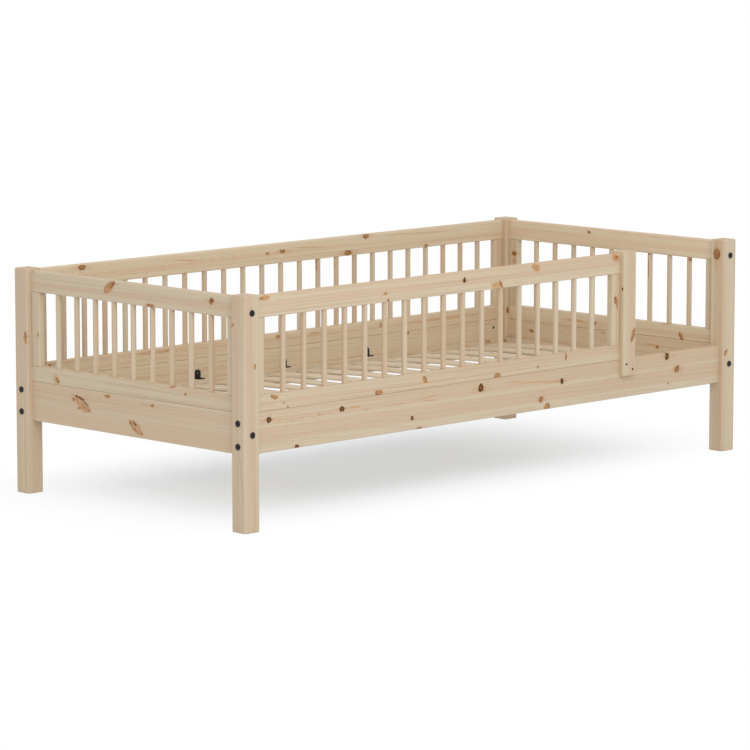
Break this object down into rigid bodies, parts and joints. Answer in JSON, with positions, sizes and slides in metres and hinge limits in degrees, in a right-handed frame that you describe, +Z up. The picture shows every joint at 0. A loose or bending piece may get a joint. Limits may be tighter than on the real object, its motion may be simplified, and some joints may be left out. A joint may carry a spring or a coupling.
{
  "type": "single bed",
  "caption": "Low single bed for a child in pale pine, with square posts, round-spindle guards, an entry gap at the front and crowned cross slats for a mattress.",
  "frame": {"origin": "on the floor under the middle of the bed", "axes": "+X along the bed, away from the end that the front guard starts from; -Y out of the front, where the entry gap is; +Z up"},
  "size_m": [2.086, 0.986, 0.66],
  "materials": {
    "pine": "untreated, fine sanded",
    "slat_pine": "untreated, planed",
    "beech": "plain dowel rod",
    "black_metal": "satin black",
    "zinc_steel": "zinc plated"
  },
  "bodies": {
    "root": {"back_guard_bottom_rail": "pine", "back_guard_spindles": "pine", "back_guard_stile_left": "pine", "back_guard_stile_right": "pine", "back_guard_top_rail": "pine", "barrel_nuts": "zinc_steel", "bracket_screws": "black_metal", "end_board_left": "pine", "end_board_right": "pine", "end_guard_left_bottom_rail": "pine", "end_guard_left_spindles": "pine", "end_guard_left_stile_back": "pine", "end_guard_left_stile_front": "pine", "end_guard_left_top_rail": "pine", "end_guard_right_bottom_rail": "pine", "end_guard_right_spindles": "pine", "end_guard_right_stile_back": "pine", "end_guard_right_stile_front": "pine", "end_guard_right_top_rail": "pine", "frame_bolts": "black_metal", "front_guard_bottom_rail": "pine", "front_guard_spindles": "pine", "front_guard_stile_left": "pine", "front_guard_stile_right": "pine", "front_guard_top_rail": "pine", "guard_seat_dowels": "beech", "post_back_left": "pine", "post_back_right": "pine", "post_dowels": "beech", "post_front_left": "pine", "post_front_right": "pine", "side_rail_back": "pine", "side_rail_front": "pine", "slat_01": "slat_pine", "slat_02": "slat_pine", "slat_03": "slat_pine", "slat_04": "slat_pine", "slat_05": "slat_pine", "slat_06": "slat_pine", "slat_07": "slat_pine", "slat_08": "slat_pine", "slat_09": "slat_pine", "slat_10": "slat_pine", "slat_11": "slat_pine", "slat_12": "slat_pine", "slat_13": "slat_pine", "slat_14": "slat_pine", "slat_15": "slat_pine", "slat_16": "slat_pine", "slat_bar_back": "pine", "slat_bar_front": "pine", "slat_bar_screws": "zinc_steel", "slat_brackets": "black_metal", "slat_end_bar_left": "pine", "slat_end_bar_right": "pine", "support_post": "pine", "support_post_screws": "black_metal"}
  },
  "joints": []
}
